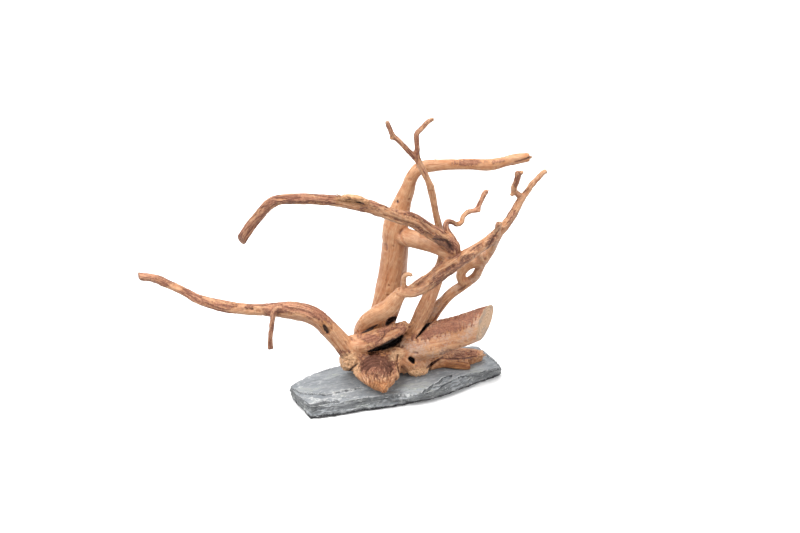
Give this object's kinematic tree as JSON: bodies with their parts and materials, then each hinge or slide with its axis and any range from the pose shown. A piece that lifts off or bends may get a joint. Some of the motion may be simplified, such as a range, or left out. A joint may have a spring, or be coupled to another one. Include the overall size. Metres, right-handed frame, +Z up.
{
  "type": "spiderwood root on slate base",
  "caption": "Branching stripped root standing on a cleaved slate slab, screwed from below, as a free-standing hardscape or display piece.",
  "frame": {"origin": "centre of the slate slab's flat underside, on the surface that it stands on", "axes": "+Z up, +X along the slab's long side towards the end under the sawn stub, +Y to the back"},
  "size_m": [0.3676, 0.1766, 0.285],
  "materials": {
    "stripped_wood": "matte, stripped and dried root with rests of bark",
    "slate": "matte, natural cleft",
    "stainless_steel": "satin"
  },
  "bodies": {
    "root": {"spiderwood_root": "stripped_wood", "slate_slab": "slate", "mounting_screw": "stainless_steel"}
  },
  "joints": []
}
